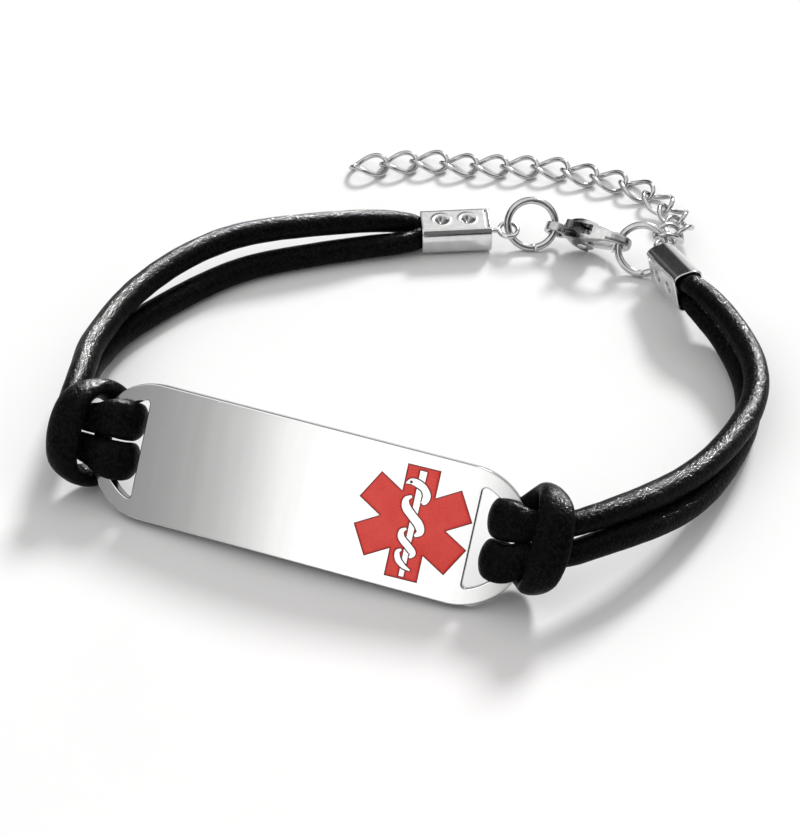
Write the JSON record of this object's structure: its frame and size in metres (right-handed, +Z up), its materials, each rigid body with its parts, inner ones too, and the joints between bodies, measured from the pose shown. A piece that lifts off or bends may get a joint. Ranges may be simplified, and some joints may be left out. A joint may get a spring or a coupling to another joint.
{
  "type": "medical alert bracelet",
  "caption": "Curved steel medical plate with a red star, doubled black leather cord, crimped caps, jump rings, a lobster clasp and a free extender chain, lying in a closed loop.",
  "frame": {"origin": "bottom centre of the whole bracelet's box, on the table it lies on", "axes": "+Z up from the table; the plate stands at the front, its outer face toward -Y and leaning back; +X to the viewer's right, the end of the plate that carries the star; the clasp and chain lie at +Y"},
  "size_m": [0.0709, 0.0734, 0.0127],
  "materials": {
    "polished_plate": "polished stainless steel with a faint brushed grain",
    "red_enamel": "smooth red enamel in a shallow recess",
    "black_leather": "glossy black round leather cord with a fine pebbled grain",
    "bright_steel": "bright polished stainless steel"
  },
  "bodies": {
    "bracelet": {"id_plate": "polished_plate", "star_enamel": "red_enamel", "left_cord": "black_leather", "right_cord": "black_leather", "left_cap": "bright_steel", "right_cap": "bright_steel", "ring_left": "bright_steel", "ring_right": "bright_steel", "clasp_body": "bright_steel", "clasp_pin": "bright_steel", "chain_link_01": "bright_steel", "chain_link_02": "bright_steel", "chain_link_03": "bright_steel", "chain_link_04": "bright_steel", "chain_link_05": "bright_steel", "chain_link_06": "bright_steel", "chain_link_07": "bright_steel", "chain_link_08": "bright_steel", "chain_link_09": "bright_steel", "chain_link_10": "bright_steel", "chain_link_11": "bright_steel", "chain_link_12": "bright_steel", "chain_link_13": "bright_steel", "chain_link_14": "bright_steel"},
    "lever": {"clasp_lever": "bright_steel"}
  },
  "joints": [
    {"name": "lever_pivot", "type": "hinge", "parent": "bracelet", "child": "lever", "pos_m": [0.00813, 0.02226, 0.00256], "axis": [-0.0102, -0.8313, -0.5557], "range_deg": [0, 22], "stiffness_Nm_per_rad": 0.002, "springref_deg": -17.19}
  ]
}
